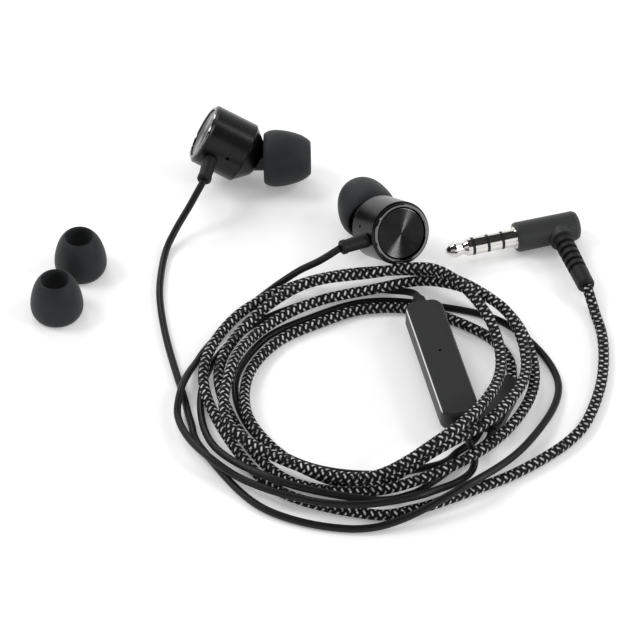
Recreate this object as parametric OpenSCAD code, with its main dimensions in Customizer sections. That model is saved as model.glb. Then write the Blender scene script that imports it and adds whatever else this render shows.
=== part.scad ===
// Wired earphones: two angled in-ear earbuds, an in-line remote, a splitter,
// a right-angle four-contact plug and the wound cable between them.

/* [Earbud housing] */
// outside diameter of the barrel
barrel_d = 12.4; // [11:0.1:14]
// length of the barrel from its back edge to the cone
barrel_len = 8.6; // [7:0.1:11]
// wall of the barrel and of the cone
wall = 0.7; // [0.5:0.05:1.2]
// length of the cone in front of the barrel
cone_len = 3.4; // [2.5:0.1:4.5]
// diameter of the small end of the cone
cone_tip_d = 6.6; // [5.8:0.1:8]
// angle between the barrel and the nozzle
nozzle_angle = 30; // [15:1:40]
// outside diameter of the nozzle
nozzle_d = 4.9; // [4:0.1:5.5]
// diameter of the lip that holds the ear tip
lip_d = 5.5; // [4.6:0.1:6]
// sound bore of the nozzle
sound_d = 3.4; // [2.4:0.1:4]
// length of the nozzle from the point where it leaves the barrel axis
nozzle_len = 6.6; // [5:0.1:9]
// diameter of the vent hole in the barrel
vent_d = 0.7; // [0.4:0.1:1.2]

/* [Back cover] */
// outside diameter of the bright ring
bezel_d = 11.4; // [10.6:0.1:12]
// inside diameter of the bright ring
bezel_bore = 10.3; // [9.6:0.1:11]
// how far the ring stands out behind the barrel
bezel_out = 0.4; // [0.1:0.05:0.8]

/* [Ear tip] */
// largest diameter of the fitted ear tips
tip_d = 11.4; // [9:0.1:13]
// length of the fitted ear tips
tip_len = 9.4; // [7:0.1:11]
// largest diameter of the spare ear tips
spare_d = 10.6; // [9:0.1:13]
// length of the spare ear tips
spare_len = 8.6; // [7:0.1:11]
// radial clearance of an ear tip over the lip
tip_fit = 0.05; // [0.01:0.01:0.1]

/* [Earbud cable boot] */
// diameter of the boot beside the barrel
boot_d = 2.9; // [2.4:0.1:3.6]
// diameter of the boot at its free end
boot_end_d = 2.6; // [2.2:0.1:3.2]
// length of the boot outside the barrel
boot_len = 5.6; // [4:0.1:9]
// distance of the boot from the back edge of the barrel
boot_back = 2.7; // [2:0.1:4]
// turn of the boot round the barrel, measured from the bend of the nozzle
boot_turn = 112; // [90:1:180]

/* [Plug] */
// diameter of the plug contacts
jack_d = 3.5; // [3.5:0.5:3.5]
// length of the plug contacts outside the moulding
jack_len = 14.2; // [14:0.1:15]
// width of each insulating band
band_w = 0.6; // [0.4:0.1:0.8]
// diameter of the moulding
mould_d = 5.9; // [5:0.1:8]
// length of the moulding
mould_len = 13.2; // [10:0.1:18]
// diameter of the plug cable boot
plug_boot_d = 3.9; // [3.4:0.1:5]
// length of the plug cable boot
plug_boot_len = 17.2; // [10:0.1:20]
// distance of the plug cable boot behind the face of the moulding
plug_boot_back = 8.8; // [6:0.1:12]

/* [Remote] */
// length of the remote shell
remote_len = 30.4; // [28:0.1:45]
// width of the remote shell
remote_w = 7.2; // [6:0.1:9]
// thickness of the remote shell
remote_t = 4.4; // [4:0.1:6]
// travel of each button
press = 0.3; // [0.2:0.05:0.5]
// gap round each button
button_gap = 0.12; // [0.08:0.01:0.2]
// length of each cable boot of the remote
remote_boot_len = 2.6; // [2:0.1:5]
// chamfer round the edges of the remote
remote_chamfer = 0.45; // [0.2:0.05:0.6]

/* [Splitter] */
// length of the splitter
split_len = 13.4; // [10:0.1:20]
// width of the splitter
split_w = 4.6; // [4:0.1:7]
// thickness of the splitter
split_t = 2.9; // [2.6:0.1:4]

/* [Cable] */
// diameter of the braided cable between plug and splitter
main_d = 2.1; // [2:0.1:3]
// diameter of the smooth cables above the splitter
thin_d = 1.4; // [1.2:0.1:2]

/* [Hidden] */
$fn = 48;
eps = 0.01;
barrel_r = barrel_d / 2;
bore_r = barrel_r - wall;
bezel_r = bezel_d / 2;
seat_gap = 0.03;
cone_end = barrel_len + cone_len;
nozzle_root = cone_end - 0.5;
tip_at = 1.8;
tip_bore_r = lip_d / 2 + tip_fit;
driver_r = bore_r - 0.05;
// the driver parts keep their own heights and move with the front of the barrel
driver_at = barrel_len - 8.6;
remote_hw = remote_w / 2;

// where the parts lie: [x, y, z], turns about z and y, turn about the barrel axis
shift = [17.42, -22.7, 0];
left_at = [-23.1, 42.3, 11.0];
left_turn = [117.7, -8.8, 162];
right_at = [15.6, 12.0, 11.6];
right_turn = [119.6, 119.7, 206];
plug_at = [38.2, 20.2, 2.98];
plug_turn = 196.5;
remote_at = [22.75, -16.8, 4.9];
remote_turn = 102.9;
remote_tilt = 1.6;
split_low = [31.0, -30.4, 1.46];
split_turn = 67.7;
spare_front_at = [-50.6, 2.3, 0];
spare_back_at = [-46.7, 14.4, 0];

// cable routes: hand-laid points, then coil stations [radius, height]
// one station every 30 degrees round the coil centre
coil_at = [9, -17.7];
main_lead = [
    [52.1, 4.0, 2.2], [52.9, 0.4, 1.2], [53.8, -5, 1.1],
    [53.7, -12, 1.1], [52.5, -19.6, 1.1], [49.6, -28, 1.1], [46.1, -33.1, 1.1],
    [40.7, -37.9, 1.1], [34.6, -42.1, 1.1], [29.1, -44.9, 1.1], [23.4, -47.7, 1.1],
    [17.2, -50.3, 1.1]];
main_wind = [
    [33.8, 1.1], [32.5, 1.1], [30.2, 2.0], [30.9, 3.2], [29.4, 3.2], [27.6, 3.2],
    [27.8, 3.2], [30.0, 4.0], [31.6, 3.1], [31.3, 2.4], [29.8, 4.0], [29.0, 4.2],
    [29.2, 2.2], [29.5, 1.1], [27.4, 1.3], [28.0, 3.2], [26.4, 3.2], [25.0, 5.4],
    [24.5, 5.8], [26.6, 8.3], [25.6, 7.2], [24.8, 6.2], [24.6, 8.4], [26.2, 9.4],
    [28.1, 4.8], [28.4, 4.7], [29.9, 5.2], [25.4, 5.4], [23.4, 3.0], [21.8, 3.2],
    [22.6, 3.2], [26.6, 5.2], [30.0, 5.7], [29.6, 4.8], [27.2, 6.4], [25.6, 6.2],
    [26.8, 1.3], [26.4, 2.4], [25.2, 3.2], [22.6, 2.0], [20.2, 1.1], [18.2, 1.1],
    [19.6, 1.1], [22.0, 1.1], [25.6, 1.1]];
main_end = [[35.6, -11.6, 1.2]];
left_lead = [
    [-25.7, 27.0, 5.3], [-28.6, 22.8, 2.3], [-30.4, 17.8, 0.9], [-31.1, 9, 0.8],
    [-30.6, 1.9, 0.7], [-29.2, -6.3, 0.7], [-27.3, -14.4, 0.7], [-25.4, -21.8, 0.7],
    [-24, -28, 0.7]];
left_wind = [
    [35.2, 0.7], [37.4, 0.7], [37.0, 0.9], [34.2, 3.9], [33.8, 2.1], [35.8, 0.7],
    [31.2, 0.7], [24.4, 0.7], [22.0, 0.7], [20.6, 0.7], [22.8, 0.7], [24.9, 0.7],
    [25.0, 0.7], [24.2, 0.7], [23.6, 0.7], [24.6, 0.7]];
left_end = [[25.4, -35.6, 0.7], [28.4, -32.8, 0.8]];
right_lead = [
    [0, 8.7, 7.5], [-3.9, 9.6, 4.1], [-7.8, 8.6, 1.6], [-10.8, 6.2, 0.8],
    [-14, 2.6, 0.7], [-18.4, -3.6, 0.7], [-21.6, -8.5, 0.7], [-23.4, -12.5, 0.9],
    [-24.9, -17, 2.1], [-26, -21.8, 2.8], [-26.4, -27.6, 2.1], [-24.2, -33.6, 2.3],
    [-20.4, -38.8, 2.8], [-15.2, -43.4, 2.5], [-9.6, -47, 2.9], [-3.6, -49.6, 3.3],
    [2, -51.2, 3.6], [9, -51.5, 3.8], [16.9, -49.5, 3.5], [21.2, -46.7, 2.4],
    [24.8, -43.7, 1.1], [27.6, -41.2, 1.3], [28.3, -38.6, 2.4], [27.4, -36.2, 3.7]];
upper_start = [[18.6, 2.9, 3.8], [17.4, 4.9, 2.7], [14.5, 6.8, 1.3]];
upper_wind = [
    [25.1, 0.8], [24.6, 0.7], [27.4, 0.7], [30.9, 0.8], [33.4, 1.7], [32.7, 4.0],
    [31.9, 2.9]];
upper_end = [[16.8, -46.2, 0.8], [20.8, -42.9, 0.7], [24.4, -39.4, 0.7], [27.7, -36.0, 0.7],
    [30.7, -33.4, 0.9]];

// ---------- placing ----------
module ear_place(p, t, hand) {
    translate(shift)
    translate(p)
    rotate([0, t[0], t[1]])
    rotate([0, 0, t[2]])
    mirror([0, hand, 0])
    children();
}
// local point of an earbud in the common frame
function turn_z(v, a) = [v[0] * cos(a) - v[1] * sin(a), v[0] * sin(a) + v[1] * cos(a), v[2]];
function turn_y(v, a) = [v[0] * cos(a) + v[2] * sin(a), v[1], v[2] * cos(a) - v[0] * sin(a)];
function ear_point(p, t, hand, v) =
    p + turn_z(turn_y(turn_z([v[0], hand == 1 ? -v[1] : v[1], v[2]], t[2]), t[0]), t[1]);
boot_reach = barrel_r + boot_len + 0.06;
boot_exit = [boot_reach * cos(boot_turn), boot_reach * sin(boot_turn), boot_back];
boot_way = [cos(boot_turn), sin(boot_turn), 0];
left_exit = ear_point(left_at, left_turn, 0, boot_exit);
left_way = ear_point([0, 0, 0], left_turn, 0, boot_way);
right_exit = ear_point(right_at, right_turn, 1, boot_exit);
right_way = ear_point([0, 0, 0], right_turn, 1, boot_way);

function remote_point(v) = remote_at + turn_z(turn_y(v, -remote_tilt), remote_turn);
cable_low = -0.3;
remote_up_exit = remote_point([remote_len / 2 + remote_boot_len + 0.06, 0, cable_low]);
remote_low_exit = remote_point([-remote_len / 2 - remote_boot_len - 0.06, 0, cable_low]);
remote_up_way = remote_point([1, 0, 0]) - remote_at;

plug_exit = plug_at + turn_z([-plug_boot_back, plug_boot_len + 0.06, 0], plug_turn);
plug_way = turn_z([0, 1, 0], plug_turn);
split_side = 1.0;
function split_point(x, y) = split_low + turn_z([x, y, 0], split_turn);
split_way = turn_z([1, 0, 0], split_turn);

// ---------- cable shapes ----------
function round_coil(list, from, step) = [for (i = [0:len(list) - 1])
    [coil_at[0] + list[i][0] * cos(from + step * i),
     coil_at[1] + list[i][0] * sin(from + step * i), list[i][1]]];
function at_end(p, i) = i < 0 ? 2 * p[0] - p[1]
    : i >= len(p) ? 2 * p[len(p) - 1] - p[len(p) - 2] : p[i];
function smooth(p, i, t) = let (a = at_end(p, i - 1), b = at_end(p, i),
    c = at_end(p, i + 1), d = at_end(p, i + 2))
    0.5 * (2 * b + (c - a) * t + (2 * a - 5 * b + 4 * c - d) * t * t
    + (3 * b - a - 3 * c + d) * t * t * t);
// stations of a cable from point to point, never lower than its own radius above the floor
function run(p, from, to, per, low) = [for (k = [0:(to - from) * per])
    let (i = min(from + floor(k / per), len(p) - 2), v = smooth(p, i, from + k / per - i))
    [v[0], v[1], max(v[2], low)]];
function unit(v) = v / norm(v);
function way_at(p, k) = unit(p[min(k + 1, len(p) - 1)] - p[max(k - 1, 0)]);
function tube_points(p, r, sides, w0, w1) = [for (k = [0:len(p) - 1])
    let (w = k == 0 ? w0 : k == len(p) - 1 ? w1 : way_at(p, k),
         e = unit(cross([0, 0, 1], w)), f = cross(w, e))
    for (s = [0:sides - 1]) p[k] + r * cos(360 * s / sides) * e + r * sin(360 * s / sides) * f];
function tube_faces(n, sides) = concat(
    [for (s = [1:sides - 2]) [0, s, s + 1]],
    [for (k = [0:n - 2]) for (s = [0:sides - 1]) let (a = k * sides + s,
        b = k * sides + (s + 1) % sides) [a, a + sides, b]],
    [for (k = [0:n - 2]) for (s = [0:sides - 1]) let (a = k * sides + s,
        b = k * sides + (s + 1) % sides) [b, a + sides, b + sides]],
    [for (s = [1:sides - 2]) let (o = (n - 1) * sides) [o, o + s + 1, o + s]]);
module tube(p, r, sides, w0, w1) {
    translate(shift)
    polyhedron(points = tube_points(p, r, sides, w0, w1), faces = tube_faces(len(p), sides));
}
// the windings are told in steps of 30 degrees, the main one backwards
wind_step = 30;
main_wind_from = 270;
left_wind_from = 210;
upper_wind_from = 90;
main_all = concat([plug_exit], main_lead, round_coil(main_wind, main_wind_from, -wind_step), main_end,
    [split_point(split_len + 0.01, 0)]);
left_all = concat([left_exit], left_lead, round_coil(left_wind, left_wind_from, wind_step), left_end,
    [split_point(-0.01, split_side)]);
right_all = concat([right_exit], right_lead, [remote_low_exit]);
upper_all = concat([remote_up_exit], upper_start, round_coil(upper_wind, upper_wind_from, wind_step), upper_end,
    [split_point(-0.01, -split_side)]);
main_cut = len(main_lead) + 1;
left_cut = len(left_lead) + 1;
main_coil_run = run(main_all, main_cut, len(main_all) - 1, 2, main_d / 2);
left_coil_run = run(left_all, left_cut, len(left_all) - 1, 2, thin_d / 2);
upper_run = run(upper_all, 0, len(upper_all) - 1, 2, thin_d / 2);
main_lead_run = run(main_all, 0, main_cut, 1, main_d / 2);
left_lead_run = run(left_all, 0, left_cut, 2, thin_d / 2);
right_run = run(right_all, 0, len(right_all) - 1, 1, thin_d / 2);
main_joint = way_at([smooth(main_all, main_cut - 1, 0.9), smooth(main_all, main_cut, 0),
    smooth(main_all, main_cut, 0.1)], 1);
left_joint = way_at([smooth(left_all, left_cut - 1, 0.9), smooth(left_all, left_cut, 0),
    smooth(left_all, left_cut, 0.1)], 1);
function reach(p) = len(p) < 2 ? 0 : reach_sum(p, 0);
function reach_sum(p, k) = k >= len(p) - 1 ? 0 : norm(p[k + 1] - p[k]) + reach_sum(p, k + 1);
// least surface gap of a coil to itself, measured between points at least nine apart
function self_gap(p, d) = min([for (i = [0:len(p) - 10]) for (j = [i + 9:len(p) - 1])
    norm(p[i] - p[j])]) - d;
main_gap_points = run(main_all, main_cut, len(main_all) - 1, 4, main_d / 2);
left_gap_points = run(left_all, left_cut, len(left_all) - 1, 4, thin_d / 2);
upper_gap_points = run(upper_all, 0, len(upper_all) - 1, 4, thin_d / 2);
echo(main_coil_gap = self_gap(main_gap_points, main_d));
echo(left_coil_gap = self_gap(left_gap_points, thin_d));
echo(right_coil_gap = self_gap(upper_gap_points, thin_d));
echo(lengths = [reach(main_lead_run), reach(main_coil_run), reach(left_lead_run),
    reach(left_coil_run), reach(right_run), reach(upper_run)]);

// ---------- earbud ----------
module housing() {
    color([0.16, 0.17, 0.17])
    difference() {
        rotate_extrude($fn = 96)
        polygon([[bore_r, 0.9], [bore_r, barrel_len], [barrel_r, barrel_len], [barrel_r, 0.3],
            [barrel_r - 0.3, 0], [bezel_r + seat_gap, 0], [bezel_r + seat_gap, 0.9]]);
        // socket of the cable boot
        rotate([0, 90, boot_turn])
        translate([-boot_back, 0, 0])
        cylinder(h = barrel_r + 1, d = boot_d - 0.5);
        // vent
        rotate([0, 90, boot_turn - 21])
        translate([-5.5, 0, 0])
        cylinder(h = barrel_r + 1, d = vent_d);
    }
}
module front_cover() {
    color([0.15, 0.16, 0.16])
    difference() {
        union() {
            rotate_extrude($fn = 96)
            polygon([[bore_r - 0.55, barrel_len - 0.9], [bore_r - seat_gap, barrel_len - 0.9],
                [bore_r - seat_gap, barrel_len + seat_gap], [barrel_r - 0.12, barrel_len + seat_gap],
                [barrel_r, barrel_len + 0.2], [cone_tip_d / 2 + 0.3, cone_end - 0.35],
                [cone_tip_d / 2 - 0.25, cone_end], [0, cone_end], [0, cone_end - 1.6],
                [bore_r - 0.75, barrel_len + 0.5]]);
            translate([0, 0, nozzle_root])
            rotate([0, nozzle_angle, 0])
            translate([0, 0, -0.9])
            cylinder(h = nozzle_len + 0.9, d = nozzle_d, $fn = 64);
            translate([0, 0, nozzle_root])
            rotate([0, nozzle_angle, 0])
            translate([0, 0, nozzle_len - 0.8])
            cylinder(h = 0.8, d = lip_d, $fn = 64);
        }
        translate([0, 0, nozzle_root])
        rotate([0, nozzle_angle, 0])
        translate([0, 0, -2.6])
        cylinder(h = nozzle_len + 4, d = sound_d, $fn = 48);
        translate([0, 0, nozzle_root])
        rotate([0, nozzle_angle, 0])
        translate([0, 0, nozzle_len - 0.5])
        cylinder(h = 2, d = sound_d + 0.5, $fn = 48);
    }
}
module nozzle_mesh() {
    color([0.55, 0.55, 0.56])
    translate([0, 0, nozzle_root])
    rotate([0, nozzle_angle, 0])
    translate([0, 0, nozzle_len - 0.47])
    difference() {
        cylinder(h = 0.2, d = sound_d + 0.44, $fn = 48);
        for (i = [0:5])
            rotate([0, 0, 60 * i])
            translate([0.75, 0, -1])
            cylinder(h = 3, d = 0.4, $fn = 16);
        for (i = [0:9])
            rotate([0, 0, 36 * i])
            translate([1.35, 0, -1])
            cylinder(h = 3, d = 0.4, $fn = 16);
        translate([0, 0, -1])
        cylinder(h = 3, d = 0.4, $fn = 16);
    }
}
module bezel_ring() {
    color([0.82, 0.83, 0.85])
    rotate_extrude($fn = 96)
    polygon([[bezel_bore / 2, 0.48], [bezel_bore / 2 - 0.7, 0.48], [bezel_bore / 2 - 0.7, 0.86],
        [bezel_r, 0.86], [bezel_r, 0.05 - bezel_out + 0.15], [bezel_r - 0.15, -bezel_out],
        [bezel_bore / 2 + 0.1, -bezel_out], [bezel_bore / 2, 0.1 - bezel_out]]);
}
module back_disc() {
    color([0.35, 0.36, 0.37])
    rotate_extrude($fn = 96)
    polygon([[0, -0.16], [bezel_bore / 2 - 0.25, -0.1], [bezel_bore / 2 - 0.03, 0.08],
        [bezel_bore / 2 - 0.03, 0.45], [0, 0.45]]);
}
module driver_frame() {
    color([0.2, 0.2, 0.22])
    translate([0, 0, driver_at])
    rotate_extrude($fn = 72)
    polygon([[3.75, 4.7], [4.1, 4.7], [4.1, 5.6], [driver_r, 6.1], [driver_r, 7.65],
        [driver_r - 0.45, 7.65], [driver_r - 0.45, 6.65], [3.75, 6.05]]);
}
module driver_yoke() {
    color([0.6, 0.6, 0.6])
    translate([0, 0, driver_at])
    rotate_extrude($fn = 64)
    polygon([[0, 4.2], [3.7, 4.2], [3.7, 6.4], [3.35, 6.4], [3.35, 4.65], [0, 4.65]]);
}
module driver_magnet() {
    color([0.5, 0.5, 0.52])
    translate([0, 0, driver_at])
    translate([0, 0, 4.67])
    cylinder(h = 1.1, r = 2.75, $fn = 64);
}
module driver_top_plate() {
    color([0.62, 0.62, 0.63])
    translate([0, 0, driver_at])
    translate([0, 0, 5.79])
    cylinder(h = 0.55, r = 2.8, $fn = 64);
}
module voice_coil() {
    color([0.72, 0.4, 0.2])
    translate([0, 0, driver_at])
    translate([0, 0, 5.5])
    difference() {
        cylinder(h = 1.4, r = 3.2, $fn = 64);
        translate([0, 0, -1])
        cylinder(h = 4, r = 2.95, $fn = 64);
    }
}
module diaphragm() {
    color([0.75, 0.74, 0.7])
    translate([0, 0, driver_at])
    rotate_extrude($fn = 72)
    polygon([[0, 7.35], [1.6, 7.22], [2.9, 6.93], [3.25, 6.93], [4.3, 7.1], [4.75, 6.95],
        [4.75, 7.03], [4.3, 7.18], [3.25, 7.01], [2.95, 7.01], [1.6, 7.3], [0, 7.43]]);
}
module terminal_board() {
    color([0.1, 0.35, 0.2])
    translate([0, 0, 3.7])
    difference() {
        cylinder(h = 0.45, r = 3.3, $fn = 48);
        for (s = [-1, 1])
            translate([1.5 * s, 0, -1])
            cylinder(h = 3, d = 0.6, $fn = 16);
    }
}
module strain_relief() {
    color([0.13, 0.13, 0.14])
    rotate([0, 90, boot_turn])
    translate([-boot_back, 0, 0])
    rotate_extrude($fn = 48)
    polygon([[0, bore_r - 1.1], [boot_d / 2 + 0.25, bore_r - 1.1], [boot_d / 2 + 0.25, bore_r - 0.62],
        [boot_d / 2 - 0.3, bore_r - 0.62], [boot_d / 2 - 0.3, barrel_r + 0.06],
        [boot_d / 2, barrel_r + 0.06], [boot_end_d / 2, barrel_r + boot_len - 1.1],
        [boot_end_d / 2 + 0.12, barrel_r + boot_len - 1.0],
        [boot_end_d / 2 + 0.12, barrel_r + boot_len - 0.25],
        [boot_end_d / 2 - 0.15, barrel_r + boot_len], [0, barrel_r + boot_len]]);
}
// silicone ear tip, back edge at z = 0
module tip_shape(d, h) {
    k = d / 11.4;
    rotate_extrude($fn = 72)
    polygon([[4.93 * k, 0], [5.5 * k, 0.14 * h], [d / 2, 0.3 * h], [5.62 * k, 0.46 * h],
        [5.22 * k, 0.66 * h], [4.6 * k, 0.83 * h], [3.95 * k, 0.94 * h], [3.3 * k, 0.995 * h],
        [2.9 * k, h], [2.5, 0.985 * h], [2.25, 0.94 * h], [2.2, 0.55 * h], [tip_bore_r, 0.54 * h],
        [tip_bore_r, 0.11 * h], [3.3, 0.11 * h], [3.3, 0.78 * h], [3.7 * k, 0.81 * h],
        [4.15 * k, 0.76 * h], [4.75 * k, 0.62 * h], [5.08 * k, 0.45 * h], [5.15 * k, 0.3 * h],
        [4.95 * k, 0.14 * h], [4.5 * k, 0.02 * h]]);
}
module ear_tip() {
    color([0.24, 0.25, 0.27])
    translate([0, 0, nozzle_root])
    rotate([0, nozzle_angle, 0])
    translate([0, 0, tip_at])
    tip_shape(tip_d, tip_len);
}
module spare_tip(p) {
    color([0.24, 0.25, 0.27])
    translate(shift)
    translate(p)
    tip_shape(spare_d, spare_len);
}
module earbud_part(part) {
    if (part == 0) housing();
    if (part == 1) front_cover();
    if (part == 2) nozzle_mesh();
    if (part == 3) bezel_ring();
    if (part == 4) back_disc();
    if (part == 5) driver_frame();
    if (part == 6) driver_yoke();
    if (part == 7) driver_magnet();
    if (part == 8) driver_top_plate();
    if (part == 9) voice_coil();
    if (part == 10) diaphragm();
    if (part == 11) terminal_board();
    if (part == 12) strain_relief();
    if (part == 13) ear_tip();
}
ear_names = ["housing", "front_cover", "nozzle_mesh", "bezel_ring", "back_disc", "driver_frame",
    "driver_yoke", "driver_magnet", "driver_top_plate", "voice_coil", "diaphragm",
    "terminal_board", "strain_relief", "ear_tip"];
module left_part(part) {
    ear_place(left_at, left_turn, 0) earbud_part(part);
}
module right_part(part) {
    ear_place(right_at, right_turn, 1) earbud_part(part);
}

// ---------- plug: contacts along local +x from the moulding face ----------
jack_r = jack_d / 2;
contact_1 = 5.1;
contact_2 = contact_1 + band_w;
contact_3 = contact_2 + 2.4;
contact_4 = contact_3 + band_w;
contact_5 = contact_4 + 2.4;
contact_6 = contact_5 + band_w;
module plug_place() {
    translate(shift)
    translate(plug_at)
    rotate([0, 0, plug_turn])
    children();
}
// a ring of the plug: from a to b measured back from the point, bore radius r
module contact(a, b, r) {
    translate([jack_len - b, 0, 0])
    rotate([0, 90, 0])
    difference() {
        cylinder(h = b - a, r = jack_r, $fn = 64);
        translate([0, 0, -1])
        cylinder(h = b - a + 2, r = r, $fn = 48);
    }
}
module plug_tip() {
    color([0.85, 0.84, 0.8])
    plug_place()
    translate([jack_len, 0, 0])
    rotate([0, -90, 0])
    rotate_extrude($fn = 64)
    polygon([[0, 0], [0.55, 0.12], [1.1, 0.75], [1.55, 1.5], [1.62, 1.9], [1.2, 3.2], [1.2, 3.5],
        [jack_r, 4.3], [jack_r, contact_1], [0.4, contact_1], [0.4, jack_len + 4.5],
        [0, jack_len + 4.5]]);
}
module plug_ring_1() {
    color([0.85, 0.84, 0.8])
    plug_place()
    union() {
        contact(contact_2, contact_3, 0.75);
        translate([-3.6, 0, 0])
        rotate([0, 90, 0])
        difference() {
            cylinder(h = jack_len + 3.6 - contact_3 + 0.1, r = 0.9, $fn = 48);
            translate([0, 0, -1])
            cylinder(h = jack_len + 8, r = 0.7, $fn = 48);
        }
    }
}
module plug_ring_2() {
    color([0.85, 0.84, 0.8])
    plug_place()
    union() {
        contact(contact_4, contact_5, 1.15);
        translate([-2.7, 0, 0])
        rotate([0, 90, 0])
        difference() {
            cylinder(h = jack_len + 2.7 - contact_5 + 0.1, r = 1.3, $fn = 48);
            translate([0, 0, -1])
            cylinder(h = jack_len + 8, r = 1.1, $fn = 48);
        }
    }
}
module plug_sleeve() {
    color([0.85, 0.84, 0.8])
    plug_place()
    translate([-1.8, 0, 0])
    rotate([0, 90, 0])
    difference() {
        union() {
            translate([0, 0, 1.8])
            cylinder(h = jack_len - contact_6, r = jack_r, $fn = 64);
            cylinder(h = 1.8, r = 2.2, $fn = 64);
        }
        translate([0, 0, -1])
        cylinder(h = jack_len + 8, r = 1.5, $fn = 48);
    }
}
// insulating band i with its inner tube
band_at = [contact_1, contact_3, contact_5];
band_in = [0.42, 0.92, 1.32];
band_out = [0.68, 1.08, 1.48];
band_tail = [3.6, 2.7, 1.8];
module plug_insulator(i) {
    color([0.08, 0.08, 0.08])
    plug_place()
    union() {
        contact(band_at[i] + 0.005, band_at[i] + band_w - 0.005, band_in[i]);
        tube_x(band_out[i], band_in[i], jack_len + band_tail[i] - band_at[i] - band_w / 2,
            -band_tail[i]);
    }
}
module tube_x(ro, ri, h, x) {
    translate([x, 0, 0])
    rotate([0, 90, 0])
    difference() {
        cylinder(h = h, r = ro, $fn = 48);
        translate([0, 0, -1])
        cylinder(h = h + 2, r = ri, $fn = 48);
    }
}
module plug_moulding() {
    color([0.2, 0.2, 0.22])
    plug_place()
    difference() {
        union() {
            rotate([0, -90, 0])
            rotate_extrude($fn = 72)
            polygon([[0, 0.05], [mould_d / 2 - 0.5, 0.05], [mould_d / 2 - 0.15, 0.2],
                [mould_d / 2, 0.6], [mould_d / 2, mould_len - 1.0], [mould_d / 2 - 0.25, mould_len - 0.4],
                [mould_d / 2 - 0.9, mould_len - 0.08], [0, mould_len]]);
            translate([-plug_boot_back, 0, 0])
            rotate([-90, 0, 0])
            cylinder(h = mould_d / 2 + 0.5, d = 5.0, $fn = 64);
        }
        // room for the contact tails
        translate([-5.2, 0, 0])
        rotate([0, 90, 0])
        cylinder(h = 3.4, r = 2.0, $fn = 48);
        translate([-1.85, 0, 0])
        rotate([0, 90, 0])
        cylinder(h = 3, r = 2.25, $fn = 48);
        // socket of the cable boot
        translate([-plug_boot_back, 0.9, 0])
        rotate([-90, 0, 0])
        cylinder(h = 5, d = plug_boot_d - 0.9, $fn = 48);
    }
}
module plug_strain_relief() {
    color([0.17, 0.17, 0.18])
    plug_place()
    translate([-plug_boot_back, 0, 0])
    rotate([-90, 0, 0])
    difference() {
        rotate_extrude($fn = 56)
        polygon([[0, 1.0], [plug_boot_d / 2 - 0.5, 1.0], [plug_boot_d / 2 - 0.5, 3.5],
            [plug_boot_d / 2, 3.5], [plug_boot_d / 2, 4.6], [1.72, plug_boot_len - 1.4],
            [1.72, plug_boot_len - 0.5], [1.5, plug_boot_len], [0, plug_boot_len]]);
        for (i = [0:4])
            translate([0, 0, 5.0 + 1.7 * i])
            difference() {
                cylinder(h = 0.85, r = 3, $fn = 48);
                translate([0, 0, -1])
                cylinder(h = 3, r = 1.3, $fn = 48);
            }
    }
}

// ---------- remote: local +x towards its upper end, buttons underneath ----------
module remote_place() {
    translate(shift)
    translate(remote_at)
    rotate([0, -remote_tilt, remote_turn])
    children();
}
// flat plate with round corners
module plate(l, w, r, h) {
    linear_extrude(height = h)
    union() {
        square([l - 2 * r, w], center = true);
        square([l, w - 2 * r], center = true);
        for (x = [-1, 1])
            for (y = [-1, 1])
                translate([x * (l / 2 - r), y * (w / 2 - r)])
                circle(r = r, $fn = 32);
    }
}
// the same plate with a chamfer c round its upper edge
module chamfer_plate(l, w, r, h, c) {
    rotate([90, 0, 90])
    translate([0, 0, r - l / 2])
    linear_extrude(height = l - 2 * r)
    polygon([[-w / 2, 0], [w / 2, 0], [w / 2, h - c], [w / 2 - c, h], [c - w / 2, h],
        [-w / 2, h - c]]);
    rotate([90, 0, 0])
    translate([0, 0, r - w / 2])
    linear_extrude(height = w - 2 * r)
    polygon([[-l / 2, 0], [l / 2, 0], [l / 2, h - c], [l / 2 - c, h], [c - l / 2, h],
        [-l / 2, h - c]]);
    for (x = [-1, 1])
        for (y = [-1, 1])
            translate([x * (l / 2 - r), y * (w / 2 - r), 0])
            rotate_extrude($fn = 48)
            polygon([[0, 0], [r, 0], [r, h - c], [r - c, h], [0, h]]);
}
remote_mid = -0.2;
peg_at = 12.8;
button_at = [10.2, 0, -10.2];
button_l = [5.0, 6.4, 5.0];
module remote_cover() {
    color([0.2, 0.2, 0.21]) {
    remote_place()
    difference() {
        translate([0, 0, remote_mid])
        chamfer_plate(remote_len, remote_w, 2.2, remote_t / 2 - remote_mid, remote_chamfer);
        translate([0, 0, remote_mid - 1])
        plate(remote_len - 1.5, remote_w - 1.5, 1.45, remote_t / 2 + 1 - 0.8 - remote_mid);
        translate([1.4, 0, 0])
        cylinder(h = 5, d = 0.6, $fn = 24);
        remote_gland_cut();
    }
    // pegs through the board
    remote_place()
    for (s = [-1, 1])
        for (y = [-1.6, 1.6])
            translate([peg_at * s, y, 0]) {
                translate([0, 0, 0.66])
                cylinder(h = 0.9, r = 0.5, $fn = 24);
                translate([0, 0, 0.1])
                cylinder(h = 0.9, r = 0.2, $fn = 24);
            }
    }
}
module remote_gland_cut() {
    for (s = [-1, 1])
        translate([s * (remote_len / 2 - 1.2), 0, cable_low])
        rotate([0, 90 * s, 0])
        cylinder(h = 3, r = 0.63, $fn = 40);
}
module button_shell() {
    color([0.19, 0.19, 0.2])
    remote_place()
    difference() {
        translate([0, 0, remote_mid - 0.02])
        mirror([0, 0, 1])
        chamfer_plate(remote_len, remote_w, 2.2, remote_t / 2 + remote_mid - 0.02, remote_chamfer);
        translate([0, 0, -remote_t / 2 + 0.8])
        plate(remote_len - 1.5, remote_w - 1.5, 1.45, 4);
        for (i = [0:2])
            translate([button_at[i], 0, -remote_t / 2 - 1])
            plate(button_l[i] + 2 * button_gap, 3.6 + 2 * button_gap, 1.2, 3);
        remote_gland_cut();
    }
}
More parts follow.
